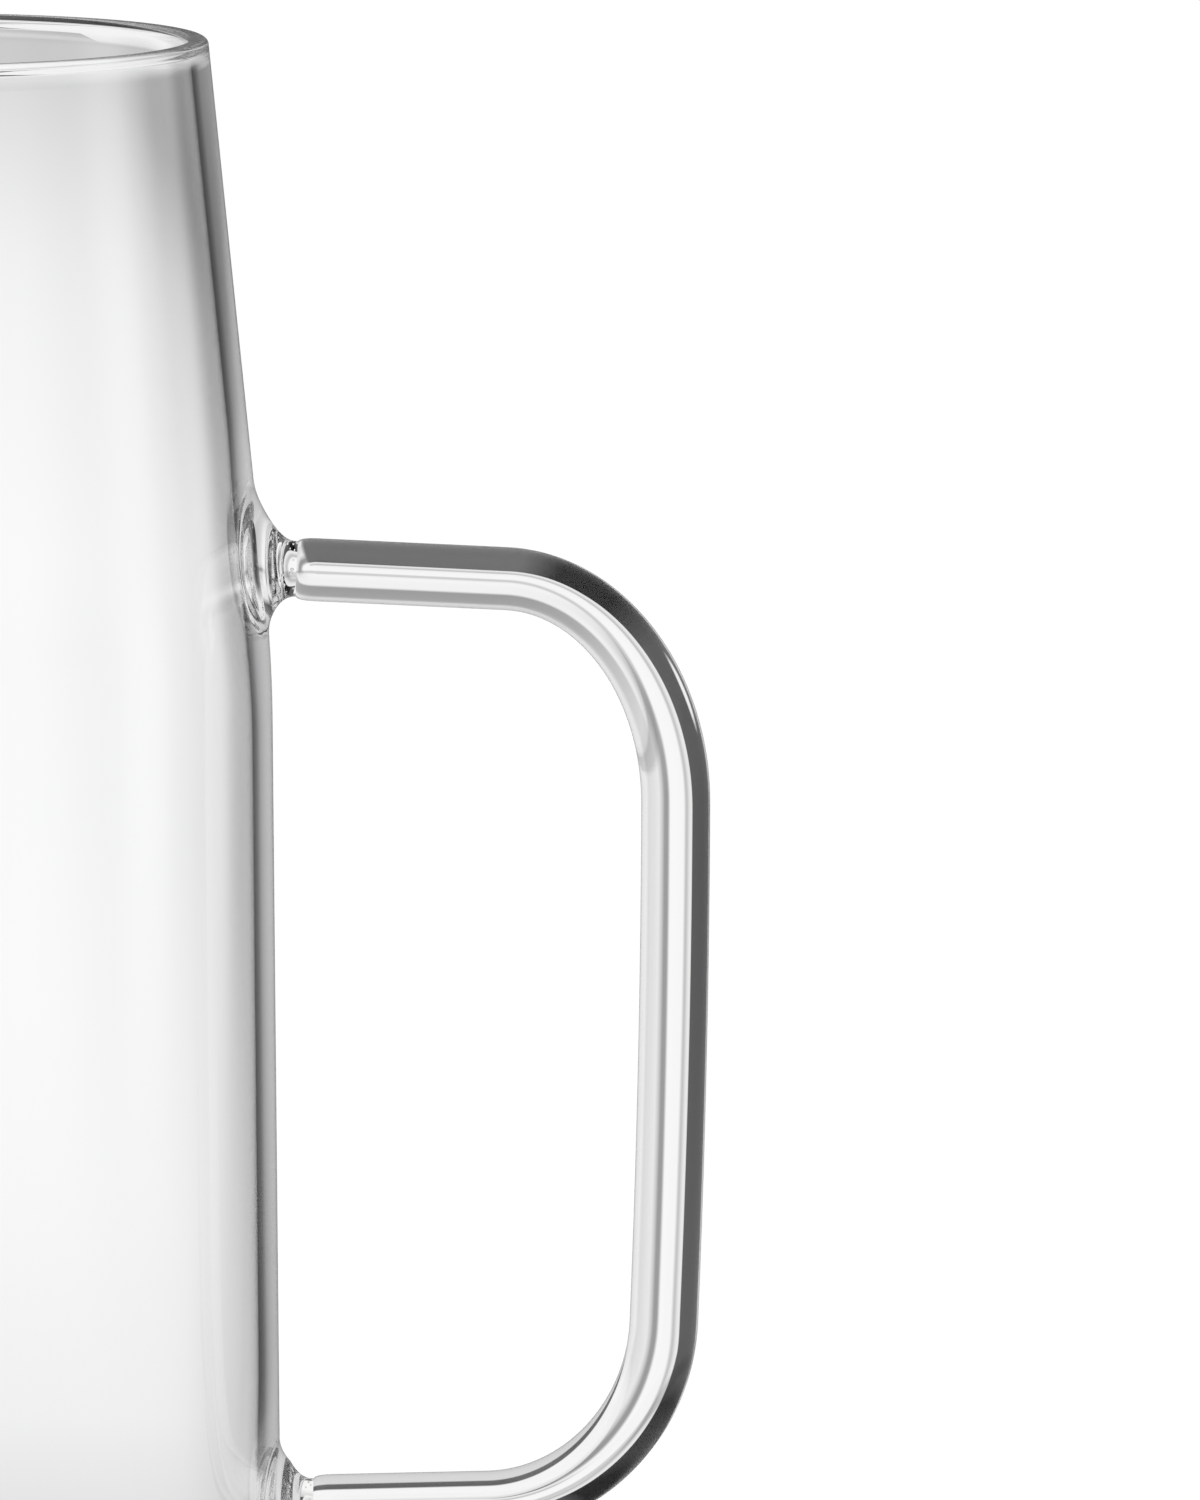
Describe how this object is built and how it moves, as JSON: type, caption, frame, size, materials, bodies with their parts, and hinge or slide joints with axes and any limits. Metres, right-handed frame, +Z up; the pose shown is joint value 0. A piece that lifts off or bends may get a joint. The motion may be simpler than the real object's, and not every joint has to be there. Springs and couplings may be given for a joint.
{
  "type": "glass pitcher",
  "caption": "Tall clear glass pitcher with a conical upper wall, pulled pouring spout and a solid glass rod handle welded to the wall, for pouring cold drinks.",
  "frame": {"origin": "centre of the flat underside of the base, on the vessel's axis and on the surface that the pitcher stands on", "axes": "+Z up along the vessel's axis, +X towards the handle, so the pouring spout is on the -X side"},
  "size_m": [0.1585, 0.1002, 0.232],
  "materials": {
    "blown_glass": "clear colourless blown glass, fire-polished",
    "weld_glass": "clear fused glass with small trapped seeds",
    "rod_glass": "clear drawn glass rod, fire-polished, faint draw lines"
  },
  "bodies": {
    "root": {"vessel": "blown_glass", "upper_weld": "weld_glass", "lower_weld": "weld_glass", "handle": "rod_glass"}
  },
  "joints": []
}
